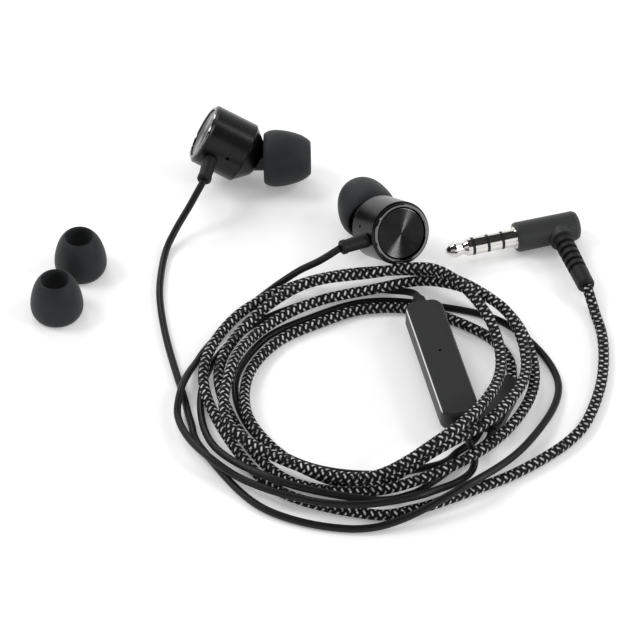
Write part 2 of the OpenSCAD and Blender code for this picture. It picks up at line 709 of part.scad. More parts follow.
module button(i) {
    color([0.26, 0.26, 0.27])
    remote_place()
    translate([button_at[i], 0, 0])
    union() {
        translate([0, 0, -remote_t / 2 - 0.3])
        plate(button_l[i], 3.6, 1.1, 1.16);
        translate([0, 0, -remote_t / 2 + 0.83])
        plate(button_l[i] + 1.0, 4.6, 1.4, 0.35);
        translate([0, 0, -remote_t / 2 + 1.1])
        cylinder(h = 0.35, d = 1.4, $fn = 32);
    }
}
module switch_dome(i) {
    color([0.8, 0.79, 0.76])
    remote_place()
    translate([button_at[i], 0, -remote_t / 2 + 1.45 + press + 0.05])
    rotate_extrude($fn = 40)
    polygon([[0, 0], [0.8, 0.05], [1.5, 0.3], [1.5, 0.4], [0, 0.4]]);
}
module remote_board() {
    color([0.08, 0.3, 0.16])
    remote_place()
    translate([0, 0, -remote_t / 2 + 1.45 + press + 0.47])
    difference() {
        plate(27.5, 5.4, 0.8, 0.6);
        for (s = [-1, 1])
            for (y = [-1.6, 1.6])
                translate([peg_at * s, y, -1])
                cylinder(h = 3, r = 0.24, $fn = 24);
    }
}
module microphone() {
    color([0.7, 0.68, 0.6])
    remote_place()
    translate([1.4, 0, 0.66])
    cylinder(h = 0.7, d = 2.4, $fn = 40);
}
module remote_boot(s) {
    color([0.13, 0.13, 0.14])
    remote_place()
    translate([0, 0, cable_low])
    rotate([0, 90 * s, 0])
    rotate_extrude($fn = 40)
    polygon([[0, remote_len / 2 - 1.15], [1.0, remote_len / 2 - 1.15],
        [1.0, remote_len / 2 - 0.8], [0.6, remote_len / 2 - 0.8], [0.6, remote_len / 2 + 0.05],
        [1.6, remote_len / 2 + 0.05], [1.3, remote_len / 2 + remote_boot_len - 0.3],
        [1.1, remote_len / 2 + remote_boot_len], [0, remote_len / 2 + remote_boot_len]]);
}

// ---------- splitter: local +x from the earbud side to the plug side ----------
module split_place() {
    translate(shift)
    translate(split_low)
    rotate([0, 0, split_turn])
    children();
}
module split_half(s) {
    color([0.18, 0.18, 0.19])
    split_place()
    mirror([0, 0, s < 0 ? 1 : 0])
    translate([split_len / 2, 0, 0.01])
    difference() {
        union() {
            plate(split_len - 0.1, split_w, 1.3, split_t / 2 - 0.35);
            plate(split_len - 0.7, split_w - 0.6, 1.0, split_t / 2 - 0.01);
        }
        translate([0, 0, -1])
        plate(split_len - 3.4, split_w - 1.8, 0.7, 1.75);
    }
}

// ---------- cables ----------
module main_cord_lead() {
    color([0.18, 0.18, 0.19])
    tube(main_lead_run, main_d / 2, 8, plug_way, main_joint);
}
module main_cord_coil() {
    color([0.18, 0.18, 0.19])
    tube(main_coil_run, main_d / 2, 6, main_joint, -split_way);
}
module left_cord_lead() {
    color([0.14, 0.14, 0.15])
    tube(left_lead_run, thin_d / 2, 8, left_way, left_joint);
}
module left_cord_coil() {
    color([0.14, 0.14, 0.15])
    tube(left_coil_run, thin_d / 2, 6, left_joint, split_way);
}
module right_cord_lead() {
    color([0.14, 0.14, 0.15])
    tube(right_run, thin_d / 2, 8, right_way, remote_up_way);
}
module right_cord_upper() {
    color([0.14, 0.14, 0.15])
    tube(upper_run, thin_d / 2, 6, remote_up_way, split_way);
}

left_part(0);  // left_housing
left_part(1);  // left_front_cover
left_part(2);  // left_nozzle_mesh
left_part(3);  // left_bezel_ring
left_part(4);  // left_back_disc
left_part(5);  // left_driver_frame
left_part(6);  // left_driver_yoke
left_part(7);  // left_driver_magnet
left_part(8);  // left_driver_top_plate
left_part(9);  // left_voice_coil
left_part(10);  // left_diaphragm
left_part(11);  // left_terminal_board
left_part(12);  // left_strain_relief
left_part(13);  // left_ear_tip
right_part(0);  // right_housing
right_part(1);  // right_front_cover
right_part(2);  // right_nozzle_mesh
right_part(3);  // right_bezel_ring
right_part(4);  // right_back_disc
right_part(5);  // right_driver_frame
right_part(6);  // right_driver_yoke
right_part(7);  // right_driver_magnet
right_part(8);  // right_driver_top_plate
right_part(9);  // right_voice_coil
right_part(10);  // right_diaphragm
right_part(11);  // right_terminal_board
right_part(12);  // right_strain_relief
right_part(13);  // right_ear_tip
remote_cover();
button_shell();
button(0);  // button_plus
button(1);  // button_centre
button(2);  // button_minus
switch_dome(0);  // switch_plus
switch_dome(1);  // switch_centre
switch_dome(2);  // switch_minus
remote_board();
microphone();
remote_boot(1);  // remote_boot_upper
remote_boot(-1);  // remote_boot_lower
plug_tip();
plug_ring_1();
plug_ring_2();
plug_sleeve();
plug_insulator(0);  // plug_insulator_1
plug_insulator(1);  // plug_insulator_2
plug_insulator(2);  // plug_insulator_3
plug_moulding();
plug_strain_relief();
split_half(1);  // splitter_top
split_half(-1);  // splitter_bottom
main_cord_lead();
main_cord_coil();
left_cord_lead();
left_cord_coil();
right_cord_lead();
right_cord_upper();
spare_tip(spare_front_at);  // spare_tip_front
spare_tip(spare_back_at);  // spare_tip_back
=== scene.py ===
# %% [markdown]
# # Wired earphones, dressed for the camera
# The rigid pieces come in as finished solids: barrels, covers, plug, remote and splitter.
# This script gives each of them a finish, and makes anew what is soft or fine:
# the woven cable, the smooth cables, the silicone tips and the spun back discs.

import math

import bpy
import numpy as np
from mathutils import Matrix, Vector


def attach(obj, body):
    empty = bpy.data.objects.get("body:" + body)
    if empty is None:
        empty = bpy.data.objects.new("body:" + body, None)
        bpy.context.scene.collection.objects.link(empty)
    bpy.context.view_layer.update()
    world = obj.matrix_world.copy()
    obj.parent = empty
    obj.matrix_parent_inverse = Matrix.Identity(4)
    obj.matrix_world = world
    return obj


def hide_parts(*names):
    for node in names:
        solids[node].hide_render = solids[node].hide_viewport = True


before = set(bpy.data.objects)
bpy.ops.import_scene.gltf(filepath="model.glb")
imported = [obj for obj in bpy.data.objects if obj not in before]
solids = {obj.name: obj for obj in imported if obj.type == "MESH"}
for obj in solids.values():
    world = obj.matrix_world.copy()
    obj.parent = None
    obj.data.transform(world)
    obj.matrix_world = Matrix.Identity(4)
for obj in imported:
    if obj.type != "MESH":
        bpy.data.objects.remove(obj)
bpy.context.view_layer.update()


# %% [markdown]
# ## The camera
# The camera looks down at 44 degrees at the point on the table that the layout is measured from.
# A short lens close by would show everything too, but near strands would come out fatter than
# far ones. A long lens from farther away keeps the coil from looking stretched.

# %% Camera
LAYOUT = Vector((0.01742, -0.0227, 0.0))  # where the layout's own origin lies, in metres
ELEVATION = math.radians(44)
DISTANCE = 0.6  # metres
LENS, SENSOR = 175.5, 36  # millimetres


def put(name, data):
    """A new object with this data, linked into the scene."""
    made = bpy.data.objects.new(name, data)
    bpy.context.scene.collection.objects.link(made)
    return made


camera_data = bpy.data.cameras.new("camera")
camera_data.lens = LENS
camera_data.sensor_width = SENSOR
camera_data.clip_start = 0.01
camera = put("camera", camera_data)
camera.location = LAYOUT + DISTANCE * Vector((0, -math.cos(ELEVATION), math.sin(ELEVATION)))
camera.rotation_euler = (math.pi / 2 - ELEVATION, 0, 0)
bpy.context.scene.camera = camera
print("camera at", [round(v, 3) for v in camera.location])

# %% [markdown]
# ## Routes of the four cables
# A wound cable lies in loose, uneven turns that pass over and under each other. A helix from a
# formula would be too regular, and dropping a simulated cable wouldn't land it where the solids
# are, so each route is a row of points. Its two ends are worked out from where the
# pieces lie that it goes into. The wound part is told as stations round the coil's centre, one
# every 30 degrees, each with its radius and its height. A Catmull-Rom curve runs through all of
# them, and never dips below the cable's own radius above the table.
# All numbers are millimetres in the layout, and turn into metres at the end.

# %% Where the solids lie, in millimetres and degrees
def turn(axis, degrees):
    return Matrix.Rotation(math.radians(degrees), 4, axis)


def ear_turn(tilt, swing, spin, hand):
    """How a barrel is turned: its own axis is z, pointing at the ear."""
    return (turn("Z", swing) @ turn("Y", tilt) @ turn("Z", spin)
            @ Matrix.Diagonal((1, hand, 1, 1)))


def laid(at, way, point):
    """A point of a piece that lies at a place and is turned some way, in the layout.

    It is rounded to a hundredth of a millimetre, which is finer than the routes' other points.
    """
    return [round(c, 2) for c in Vector(at) + way.to_3x3() @ Vector(point)]


EAR_AT = {"left": (-23.1, 42.3, 11.0), "right": (15.6, 12.0, 11.6)}
EAR_TURN = {"left": ear_turn(117.7, -8.8, 162, 1), "right": ear_turn(119.6, 119.7, 206, -1)}
PLUG_AT, PLUG_TURN = (38.2, 20.2, 2.98), turn("Z", 196.5)
REMOTE_AT, REMOTE_TURN = (22.75, -16.8, 4.9), turn("Z", 102.9) @ turn("Y", -1.6)
SPLIT_AT, SPLIT_TURN = (31.0, -30.4, 1.46), turn("Z", 67.7)

# %% Where the cables end, from the sizes that the solids have
GAP = 0.06  # room between a cable's end and the boot that it goes into
SPLIT_GAP = 0.01  # the same at the splitter
BARREL_R, BOOT_LEN, BOOT_BACK, BOOT_TURN = 6.2, 5.6, 2.7, math.radians(112)
PLUG_BOOT_LEN, PLUG_BOOT_BACK = 17.2, 8.8
REMOTE_LEN, REMOTE_BOOT_LEN, REMOTE_HOLE = 30.4, 2.6, -0.3
SPLIT_LEN, SPLIT_SIDE = 13.4, 1.0  # the thin cables lie to either side of its middle

boot_reach = BARREL_R + BOOT_LEN + GAP
boot_tip = (boot_reach * math.cos(BOOT_TURN), boot_reach * math.sin(BOOT_TURN), BOOT_BACK)
left_boot_end = laid(EAR_AT["left"], EAR_TURN["left"], boot_tip)
right_boot_end = laid(EAR_AT["right"], EAR_TURN["right"], boot_tip)
plug_end = laid(PLUG_AT, PLUG_TURN, (-PLUG_BOOT_BACK, PLUG_BOOT_LEN + GAP, 0))
remote_reach = REMOTE_LEN / 2 + REMOTE_BOOT_LEN + GAP
remote_up_end = laid(REMOTE_AT, REMOTE_TURN, (remote_reach, 0, REMOTE_HOLE))
remote_low_end = laid(REMOTE_AT, REMOTE_TURN, (-remote_reach, 0, REMOTE_HOLE))
split_main_end = laid(SPLIT_AT, SPLIT_TURN, (SPLIT_LEN + SPLIT_GAP, 0, 0))
split_left_end = laid(SPLIT_AT, SPLIT_TURN, (-SPLIT_GAP, SPLIT_SIDE, 0))
split_upper_end = laid(SPLIT_AT, SPLIT_TURN, (-SPLIT_GAP, -SPLIT_SIDE, 0))

# %% Route points in millimetres
COIL_CENTRE = (9, -17.7)
STATION_STEP = 30  # degrees from one station to the next
MAIN_D, THIN_D = 2.1, 1.4  # thickness of the braided and of the smooth cables

main_lead = [
    [52.1, 4.0, 2.2], [52.9, 0.4, 1.2], [53.8, -5, 1.1],
    [53.7, -12, 1.1], [52.5, -19.6, 1.1], [49.6, -28, 1.1], [46.1, -33.1, 1.1],
    [40.7, -37.9, 1.1], [34.6, -42.1, 1.1], [29.1, -44.9, 1.1], [23.4, -47.7, 1.1],
    [17.2, -50.3, 1.1]]
main_wind = [
    [33.8, 1.1], [32.5, 1.1], [30.2, 2.0], [30.9, 3.2], [29.4, 3.2], [27.6, 3.2],
    [27.8, 3.2], [30.0, 4.0], [31.6, 3.1], [31.3, 2.4], [29.8, 4.0], [29.0, 4.2],
    [29.2, 2.2], [29.5, 1.1], [27.4, 1.3], [28.0, 3.2], [26.4, 3.2], [25.0, 5.4],
    [24.5, 5.8], [26.6, 8.3], [25.6, 7.2], [24.8, 6.2], [24.6, 8.4], [26.2, 9.4],
    [28.1, 4.8], [28.4, 4.7], [29.9, 5.2], [25.4, 5.4], [23.4, 3.0], [21.8, 3.2],
    [22.6, 3.2], [26.6, 5.2], [30.0, 5.7], [29.6, 4.8], [27.2, 6.4], [25.6, 6.2],
    [26.8, 1.3], [26.4, 2.4], [25.2, 3.2], [22.6, 2.0], [20.2, 1.1], [18.2, 1.1],
    [19.6, 1.1], [22.0, 1.1], [25.6, 1.1]]
main_end = [[35.6, -11.6, 1.2]]
left_lead = [
    [-25.7, 27.0, 5.3], [-28.6, 22.8, 2.3], [-30.4, 17.8, 0.9], [-31.1, 9, 0.8],
    [-30.6, 1.9, 0.7], [-29.2, -6.3, 0.7], [-27.3, -14.4, 0.7], [-25.4, -21.8, 0.7],
    [-24, -28, 0.7]]
left_wind = [
    [35.2, 0.7], [37.4, 0.7], [37.0, 0.9], [34.2, 3.9], [33.8, 2.1], [35.8, 0.7],
    [31.2, 0.7], [24.4, 0.7], [22.0, 0.7], [20.6, 0.7], [22.8, 0.7], [24.9, 0.7],
    [25.0, 0.7], [24.2, 0.7], [23.6, 0.7], [24.6, 0.7]]
left_end = [[25.4, -35.6, 0.7], [28.4, -32.8, 0.8]]
right_lead = [
    [0, 8.7, 7.5], [-3.9, 9.6, 4.1], [-7.8, 8.6, 1.6], [-10.8, 6.2, 0.8],
    [-14, 2.6, 0.7], [-18.4, -3.6, 0.7], [-21.6, -8.5, 0.7], [-23.4, -12.5, 0.9],
    [-24.9, -17, 2.1], [-26, -21.8, 2.8], [-26.4, -27.6, 2.1], [-24.2, -33.6, 2.3],
    [-20.4, -38.8, 2.8], [-15.2, -43.4, 2.5], [-9.6, -47, 2.9], [-3.6, -49.6, 3.3],
    [2, -51.2, 3.6], [9, -51.5, 3.8], [16.9, -49.5, 3.5], [21.2, -46.7, 2.4],
    [24.8, -43.7, 1.1], [27.6, -41.2, 1.3], [28.3, -38.6, 2.4], [27.4, -36.2, 3.7]]
upper_start = [[18.6, 2.9, 3.8], [17.4, 4.9, 2.7], [14.5, 6.8, 1.3]]
upper_wind = [
    [25.1, 0.8], [24.6, 0.7], [27.4, 0.7], [30.9, 0.8], [33.4, 1.7], [32.7, 4.0],
    [31.9, 2.9]]
upper_end = [[16.8, -46.2, 0.8], [20.8, -42.9, 0.7], [24.4, -39.4, 0.7], [27.7, -36.0, 0.7],
    [30.7, -33.4, 0.9]]
print("stations round the coil:", len(main_wind), len(left_wind), len(upper_wind))

# %% From points to a smooth line
CURVE_STEPS = 12  # steps of the curve between two points
MEASURE_STEP = 0.5  # step that a cable's length is measured with, mm


def stations(pairs, start, step):
    """Points round the coil from [radius, height] pairs."""
    turns = [math.radians(start + step * i) for i in range(len(pairs))]
    return [[COIL_CENTRE[0] + r * math.cos(a), COIL_CENTRE[1] + r * math.sin(a), z]
            for a, (r, z) in zip(turns, pairs)]


def smooth_line(points, per, low):
    """Catmull-Rom curve through the points, with per steps between two of them, kept above low."""
    p = np.array(points, float)
    p = np.vstack([2 * p[0] - p[1], p, 2 * p[-1] - p[-2]])
    t = (np.arange(per) / per)[:, None]
    spans = []
    for a, b, c, d in zip(p[:-3], p[1:-2], p[2:-1], p[3:]):
        spans.append(0.5 * (2 * b + (c - a) * t + (2 * a - 5 * b + 4 * c - d) * t**2
                            + (3 * b - a - 3 * c + d) * t**3))
    line = np.vstack(spans + [p[-2][None]])
    line[:, 2] = np.maximum(line[:, 2], low)
    return line


def evenly(line, step):
    """The same line with points a step apart."""
    along = np.concatenate([[0], np.cumsum(np.linalg.norm(np.diff(line, axis=0), axis=1))])
    marks = np.linspace(0, along[-1], max(2, round(along[-1] / step) + 1))
    return np.stack([np.interp(marks, along, line[:, k]) for k in range(3)], axis=1), marks


routes = {
    "braided_cable": ([plug_end] + main_lead + stations(main_wind, 270, -STATION_STEP)
                      + main_end + [split_main_end], MAIN_D),
    "left_cable": ([left_boot_end] + left_lead + stations(left_wind, 210, STATION_STEP)
                   + left_end + [split_left_end], THIN_D),
    "right_lower_cable": ([right_boot_end] + right_lead + [remote_low_end], THIN_D),
    "right_upper_cable": ([remote_up_end] + upper_start
                          + stations(upper_wind, 90, STATION_STEP) + upper_end
                          + [split_upper_end], THIN_D),
}
for name, (points, d) in routes.items():
    evenly(smooth_line(points, CURVE_STEPS, d / 2), MEASURE_STEP)[1][-1]

# %% [markdown]
# ## A tube along a line
# Blender's own curve with a bevel makes a tube in one step, but its surface can't carry a weave
# and its UV map isn't in millimetres. So a cable's skin is a grid of rings here. Each ring
# stands square to the line, and its start is carried along without twist, so the weave doesn't
# spin. The UV map runs along the cable in millimetres and once round it, which is what the
# braid's finish needs.

# %% Rings without twist
def carried_frames(line):
    """Two directions across the line at each point, turned as little as possible."""
    way = np.gradient(line, axis=0)
    way /= np.linalg.norm(way, axis=1)[:, None]
    side = np.zeros_like(way)
    first = np.cross(way[0], [0, 0, 1.0])
    side[0] = first / np.linalg.norm(first)
    for k in range(1, len(way)):
        s = side[k - 1] - way[k] * (side[k - 1] @ way[k])
        side[k] = s / np.linalg.norm(s)
    return side, np.cross(way, side)


# %% The tube's mesh
def grid_mesh(name, grid, u):
    """A tube from a grid of points [ring, place round it] and how far along the cable each ring
    is, closed by two caps. Millimetres in, metres out."""
    rings, sides = grid.shape[:2]
    points = grid.reshape(-1, 3) * 0.001 + np.array(LAYOUT)
    k, s = np.meshgrid(np.arange(rings - 1), np.arange(sides), indexing="ij")
    n = (s + 1) % sides
    quads = np.stack([k * sides + s, k * sides + n, (k + 1) * sides + n, (k + 1) * sides + s], -1)
    faces = quads.reshape(-1, 4).tolist()
    caps = [list(range(sides))[::-1], [(rings - 1) * sides + i for i in range(sides)]]
    mesh = bpy.data.meshes.new(name)
    mesh.from_pydata(points.tolist(), [], faces + caps)
    corner_u = np.stack([u[k], u[k], u[k + 1], u[k + 1]], -1).reshape(-1)
    step = 1 / sides
    corner_v = np.stack([s * step, (s + 1) * step, (s + 1) * step, s * step], -1).reshape(-1)
    uv = np.zeros((len(mesh.loops), 2), np.float32)
    uv[: len(corner_u), 0], uv[: len(corner_u), 1] = corner_u, corner_v
    uv[len(corner_u):, 0] = u[0]
    mesh.uv_layers.new(name="cable").data.foreach_set("uv", uv.ravel())
    mesh.shade_smooth()
    return put(name, mesh)


def tube(name, line, u, radius, sides):
    """A tube whose radius is a number or a grid [ring, place round it]."""
    side, up = carried_frames(line)
    angles = 2 * math.pi * np.arange(sides) / sides
    radius = np.broadcast_to(radius, (len(line), sides))[..., None]
    grid = line[:, None] + radius * (np.cos(angles)[None, :, None] * side[:, None]
                                     + np.sin(angles)[None, :, None] * up[:, None])
    return grid_mesh(name, grid, u)


# %% [markdown]
# ## The woven sleeve
# The thick cable wears a braid: three flat yarns that wind one way pass over and under three that
# wind the other way. A bump on a smooth tube would be quicker, but its outline would stay
# straight, and modelling every yarn would cost a huge mesh. So a formula gives the height of each
# point of the tube: the rounded back of the yarn on top, lifted where it passes over. The grid is
# as fine as the eye sees, so the outline is knobbly too.

# %% Height of the weave
YARNS = 3  # yarns wound each way
LEAD = 4.1  # length of one full turn of a yarn, mm
RELIEF = 0.17  # depth of the weave, mm
NARROW = 1.9  # how quickly a yarn's back falls off to its sides
UNDER = 0.45  # height of a yarn where it passes under, against 1 where it passes over


def weave(u, v):
    """Height (0 to 1) at u mm along and v turns round."""
    a = YARNS * (v - u / LEAD)
    b = YARNS * (v + u / LEAD)
    i, j = np.round(a), np.round(b)
    back_a = np.sqrt(np.clip(1 - (NARROW * (a - i)) ** 2, 0, 1))
    back_b = np.sqrt(np.clip(1 - (NARROW * (b - j)) ** 2, 0, 1))
    lift_a = np.cos(math.pi * (b + i))
    lift_b = -np.cos(math.pi * (a + j))
    high_a = UNDER * back_a + (1 - UNDER) / 2 * (1 + lift_a) * back_a
    high_b = UNDER * back_b + (1 - UNDER) / 2 * (1 + lift_b) * back_b
    return np.maximum(high_a, high_b)


# %% The braided cable
def braided(name, points, d, step, sides):
    line, u = evenly(smooth_line(points, CURVE_STEPS, d / 2), step)
    v = np.arange(sides) / sides
    high = weave(u[:, None], v[None, :])
    piece = tube(name, line, u, d / 2 - RELIEF * (1 - high), sides)
    return piece, line


BRAID_STEP, BRAID_SIDES = ((0.22, 28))
points, d = routes["braided_cable"]
braided_cable, braided_line = braided("braided_cable", points, d, BRAID_STEP, BRAID_SIDES)
print("weave:", len(braided_cable.data.polygons), "faces")

# %% The smooth cables
SMOOTH_STEP, SMOOTH_SIDES = 0.4, 20
smooth_cables, smooth_lines = {}, {}
for name in ("left_cable", "right_lower_cable", "right_upper_cable"):
    points, d = routes[name]
    line, u = evenly(smooth_line(points, CURVE_STEPS, d / 2), SMOOTH_STEP)
    smooth_cables[name] = tube(name, line, u, d / 2, SMOOTH_SIDES)
    smooth_lines[name] = line
    print(name, len(smooth_cables[name].data.polygons), "faces")

# %% [markdown]
# ## What each cable is
# The same list says which solids the new skin stands for. One row per cable keeps the four of
# them easy to compare.

# %% Facts of the four cables
PATH_POINTS = 700  # about how many points of a route go into its path, at most


def in_metres(line):
    return (line * 0.001 + np.array(LAYOUT)).tolist()


PLUG = [n for n in solids if n.startswith("plug_")]
SPLITTER = ["splitter_top", "splitter_bottom"]
REMOTE = ["remote_cover", "button_shell", "remote_boot_upper", "remote_boot_lower"]
cord_facts = {
    "braided_cable": (braided_cable, braided_line[::-1], MAIN_D, "plug", PLUG, "coiled",
                      ("main_cord_lead", "main_cord_coil")),
    "left_cable": (smooth_cables["left_cable"], smooth_lines["left_cable"], THIN_D, "connector",
                   SPLITTER, "coiled", ("left_cord_lead", "left_cord_coil")),
    "right_lower_cable": (smooth_cables["right_lower_cable"], smooth_lines["right_lower_cable"],
                          THIN_D, "connector", REMOTE, "loose", ("right_cord_lead",)),
    "right_upper_cable": (smooth_cables["right_upper_cable"], smooth_lines["right_upper_cable"],
                          THIN_D, "object", [], "coiled", ("right_cord_upper",)),
}
for name, (piece, line, d, far, carried, lay, nodes) in cord_facts.items():
    path = in_metres(line[:: max(1, len(line) // PATH_POINTS)]) + in_metres(line[-1:])
    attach(piece, "earphones")
    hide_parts(*nodes)
    d * 0.001
    "braid" if name == "braided_cable" else "smooth_cable"
    print(name, "from", [round(c * 1000, 1) for c in path[0]], "in", len(path), "points")

# %% [markdown]
# ## Turned shapes
# Ear tips and back discs are round, so each is one outline swept about an axis. The Screw modifier
# does that too, but a mesh from a few lines of sums needs no stack of modifiers to be applied.
# The outline is a row of [radius, height] points. Flowing parts of it run through a Catmull-Rom
# curve, sharp parts keep their corners.

# %% Sweeping an outline about an axis
def flowing(points, per):
    """A smooth row of [radius, height] through the points."""
    flat = [[r, 0, z] for r, z in points]
    return smooth_line(flat, per, -math.inf)[:, [0, 2]].tolist()


def turned(name, outline, sides, place, closed):
    """A lathed mesh. A closed outline joins its ends, an open one starts and ends near the axis."""
    outline = np.array(outline)
    angles = 2 * math.pi * np.arange(sides) / sides
    r, z = outline[:, 0][:, None], outline[:, 1][:, None]
    ring = np.stack([r * np.cos(angles), r * np.sin(angles), z + 0 * angles], -1)
    rows = len(outline)
    k, s = np.meshgrid(np.arange(rows if closed else rows - 1), np.arange(sides), indexing="ij")
    m, n = (k + 1) % rows, (s + 1) % sides
    quads = np.stack([k * sides + s, k * sides + n, m * sides + n, m * sides + s], -1)
    faces = quads.reshape(-1, 4).tolist()
    if not closed:
        faces += [list(range(sides))[::-1], [(rows - 1) * sides + i for i in range(sides)]]
    mesh = bpy.data.meshes.new(name)
    mesh.from_pydata((ring.reshape(-1, 3) * 0.001).tolist(), [], faces)
    mesh.transform(place)
    if place.determinant() < 0:
        mesh.flip_normals()
    mesh.shade_smooth()
    print(name, len(mesh.polygons), "faces")
    return put(name, mesh)


# %% The earbuds' own frames
EARS = {side: Matrix.Translation(LAYOUT + 0.001 * Vector(EAR_AT[side])) @ EAR_TURN[side]
        for side in EAR_AT}
NOZZLE_ROOT, NOZZLE_ANGLE = 11.5, 30  # where the nozzle leaves the axis (mm), and its lean
TIP_AT = 1.8  # how far along the nozzle the tip begins, mm
ear_axis = {side: (m.to_3x3() @ Vector((0, 0, 1))).normalized() for side, m in EARS.items()}
for side, axis in ear_axis.items():
    print(side, "barrel points along", [round(c, 2) for c in axis])

# %% [markdown]
# ## Ear tips
# A silicone ear tip is one thin moulding: a soft dome that turns over at the top into a stiff
# sleeve. The dome's skin is 0.4 to 0.6 mm thick and thins out to a round edge at the back. A
# sphere with a hole would give the wrong shoulder, so the outline is drawn: dome, sleeve and
# inside. The dome scales with the tip's width, the sleeve keeps to the nozzle.

# %% The four ear tips
TIP_D, TIP_LEN, TIP_BORE = 11.4, 9.4, 2.8
SPARE_D, SPARE_LEN = 10.2, 8.6
TIP_SIDES = 96
SPARE_SPOTS = {"spare_tip_front": (-50.6, 2.3, 0), "spare_tip_back": (-46.7, 14.4, 0)}


def tip_outline(d, h, bore):
    k = d / TIP_D
    dome = [[5.02 * k, 0.01 * h], [5.48 * k, 0.1 * h], [d / 2, 0.22 * h], [5.6 * k, 0.4 * h],
            [5.22 * k, 0.6 * h], [4.66 * k, 0.78 * h], [4.05 * k, 0.9 * h],
            [3.5 * k, 0.972 * h], [3.12 * k, h], [2.8, 0.99 * h], [2.6, 0.95 * h],
            [2.5, 0.86 * h]]
    sleeve = [[2.4, 0.56 * h], [bore, 0.545 * h], [bore, 0.125 * h], [bore + 0.06, 0.113 * h],
              [3.24, 0.113 * h], [3.3, 0.125 * h]]
    inside = [[3.3, 0.74 * h], [3.42, 0.79 * h], [3.72 * k, 0.8 * h], [4.15 * k, 0.745 * h],
              [4.7 * k, 0.6 * h], [5.02 * k, 0.42 * h], [5.12 * k, 0.25 * h],
              [4.98 * k, 0.12 * h], [4.62 * k, 0.02 * h], [4.76 * k, 0.0]]
    return flowing(dome, 6) + sleeve + flowing(inside, 5)


nozzle = Matrix.Translation((0, 0, 0.001 * NOZZLE_ROOT)) @ turn("Y", NOZZLE_ANGLE)
ear_tips = {}
for side, place in EARS.items():
    seat = place @ nozzle @ Matrix.Translation((0, 0, 0.001 * TIP_AT))
    name = side + "_ear_tip"
    outline = tip_outline(TIP_D, TIP_LEN, TIP_BORE)
    ear_tips[name] = turned(name + "_skin", outline, TIP_SIDES, seat, True)
    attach(ear_tips[name], name)
for name, at in SPARE_SPOTS.items():
    stand = Matrix.Translation(LAYOUT + 0.001 * Vector(at))
    outline = tip_outline(SPARE_D, SPARE_LEN, TIP_BORE)
    ear_tips[name] = turned(name + "_skin", outline, TIP_SIDES, stand, True)
    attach(ear_tips[name], "earphones")
for name, piece in ear_tips.items():
    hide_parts(name)

# %% [markdown]
# ## Back discs
# The disc behind each barrel is turned on a lathe, which leaves a fine spiral of grooves. The
# grooves make light fan out into wedges. An anisotropic shader gives wedges too, but it doesn't
# outlast a baked export, so the grooves are cut for real: 44 rings, each a shallow V.

# %% The two back discs
DISC_R, GROOVES, GROOVE_DEPTH = 5.12, 44, 0.012
CENTRE_R, HUB_R, RIM = 0.02, 0.12, 0.35  # the axis, where the grooves begin, the plain rim
FACE, DISH = -0.14, 0.05  # the face's height at the axis, and how far its rim lies above that
DISC_TOP = 0.45
DISC_SIDES = 144
face_row = []
for i in range(GROOVES * 2 + 1):
    r = HUB_R + (DISC_R - RIM - HUB_R) * i / (GROOVES * 2)
    dish = FACE + DISH * (r / DISC_R) ** 2
    face_row.append([r, dish + (GROOVE_DEPTH if i % 2 else 0)])
disc_outline = [[CENTRE_R, FACE]] + face_row + [[DISC_R - 0.25, -0.08], [DISC_R, 0.08],
                                                [DISC_R, DISC_TOP], [CENTRE_R, DISC_TOP]]
back_discs = {}
for side, place in EARS.items():
    disc = turned(side + "_spun_disc", disc_outline, DISC_SIDES, place, False)
    disc.data.shade_flat()
    back_discs[side] = disc
    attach(disc, "earphones")
    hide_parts(side + "_back_disc")

# %% [markdown]
# ## Shader sums as Python sums
# A finish is a small network of nodes. Adding and linking each of them by hand takes several lines
# a node. The class below wraps a socket, so that a sum written in Python adds the Math nodes, and
# any other node comes from its one method node().

# %% A socket that Python can reckon with
class Shade:
    def __init__(self, tree, socket=None):
        self.tree, self.socket = tree, socket

    def node(self, kind, settings=None, values=None, out=0):
        """Adds a node: first its settings, then the values or links of its sockets."""
        made = self.tree.nodes.new("ShaderNode" + kind)
        for key, value in (settings or {}).items():
            setattr(made, key, value)
        for key, value in (values or {}).items():
            if isinstance(value, Shade):
                self.tree.links.new(value.socket, made.inputs[key])
            else:
                made.inputs[key].default_value = value
        return Shade(self.tree, made.outputs[out])

    def maths(self, operation, *values):
        return self.node("Math", {"operation": operation}, dict(enumerate(values)))

    def __add__(self, other):
        return self.maths("ADD", self, other)

    __radd__ = __add__

    def __sub__(self, other):
        return self.maths("SUBTRACT", self, other)

    def __rsub__(self, other):
        return self.maths("SUBTRACT", other, self)

    def __mul__(self, other):
        return self.maths("MULTIPLY", self, other)

    __rmul__ = __mul__

    def between(self, low, high):
        """0 below low, 1 above high."""
        return self.node("MapRange", {"interpolation_type": "SMOOTHSTEP"},
                         {0: self, 1: low, 2: high})

    def blend(self, dark, light):
        """A colour from dark to light, by this value."""
        return self.node("Mix", {"data_type": "RGBA"}, {0: self, 6: (*dark, 1), 7: (*light, 1)}, 2)

    def places(self):
        """The piece's own coordinates, in metres."""
        return self.node("TexCoord", out="Object")

    def noise(self, scale, detail=3, where=None):
        return self.node("TexNoise", {}, {"Vector": where or self.places(), "Scale": scale,
                                          "Detail": detail})

    def along(self, direction):
        """How far along a direction, in millimetres."""
        dot = self.node("VectorMath", {"operation": "DOT_PRODUCT"},
                        {0: self.places(), 1: tuple(direction)}, "Value")
        return dot * 1000

    def bump(self, height, strength, distance):
        return self.node("Bump", {}, {"Height": height, "Strength": strength,
                                      "Distance": distance})


